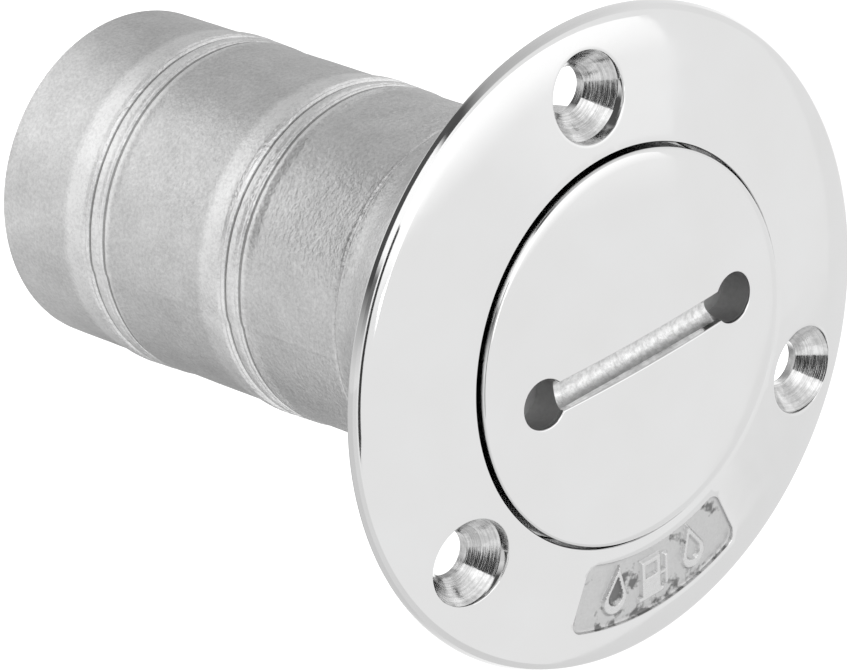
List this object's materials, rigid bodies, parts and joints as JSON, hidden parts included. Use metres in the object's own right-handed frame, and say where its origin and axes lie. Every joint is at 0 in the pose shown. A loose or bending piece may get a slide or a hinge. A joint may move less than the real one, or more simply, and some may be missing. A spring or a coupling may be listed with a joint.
{
  "type": "deck fill cap",
  "caption": "Round flush deck fill fitting with a ridged hose neck, a screwed domed cap with a key slot, and a keeper chain.",
  "frame": {"origin": "on the fitting's axis, at the underside of the flange, which is the deck's surface", "axes": "+Z along the axis, out of the deck through the cap; the key slot lies along X, one screw hole is towards +Y and the legend panel is towards -Y"},
  "size_m": [0.076, 0.076, 0.0867],
  "materials": {
    "cast_steel": "cast stainless steel, satin and finely grained on the neck, mirror polished on the flange",
    "polished_steel": "mirror-polished stainless steel",
    "chain_steel": "bright drawn stainless wire and turned stainless parts",
    "nitrile": "black moulded nitrile rubber"
  },
  "bodies": {
    "root": {"body": "cast_steel"},
    "keeper": {"swivel_yoke": "chain_steel", "yoke_pin": "chain_steel"},
    "cap": {"cap": "polished_steel", "cap_o_ring": "nitrile", "swivel_stud": "chain_steel"},
    "chain": {"chain_link_1": "chain_steel", "chain_link_2": "chain_steel", "chain_link_3": "chain_steel", "chain_link_4": "chain_steel", "chain_link_5": "chain_steel", "chain_link_6": "chain_steel", "chain_link_7": "chain_steel", "chain_link_8": "chain_steel", "chain_link_9": "chain_steel", "chain_link_10": "chain_steel", "toggle_ring": "chain_steel"},
    "toggle": {"toggle_bar": "chain_steel"}
  },
  "joints": [
    {"name": "cap_rise", "type": "slide", "parent": "root", "child": "keeper", "axis": [0, 0, 1], "range_m": [0, 0.01761]},
    {"name": "cap_turn", "type": "hinge", "parent": "keeper", "child": "cap", "pos_m": [0, 0, 0], "axis": [0, 0, 1], "range_deg": [0, 1980]},
    {"name": "chain_swing", "type": "hinge", "parent": "keeper", "child": "chain", "pos_m": [0, 0, -0.009], "axis": [1, 0, 0], "range_deg": [-4, 4]},
    {"name": "toggle_tilt", "type": "hinge", "parent": "chain", "child": "toggle", "pos_m": [0, 0, -0.06635], "axis": [0, 1, 0], "range_deg": [-50, 50]}
  ],
  "couplings": [
    {"joint": "cap_rise", "follows": "cap_turn", "m_per_rad": 0.0005093}
  ]
}
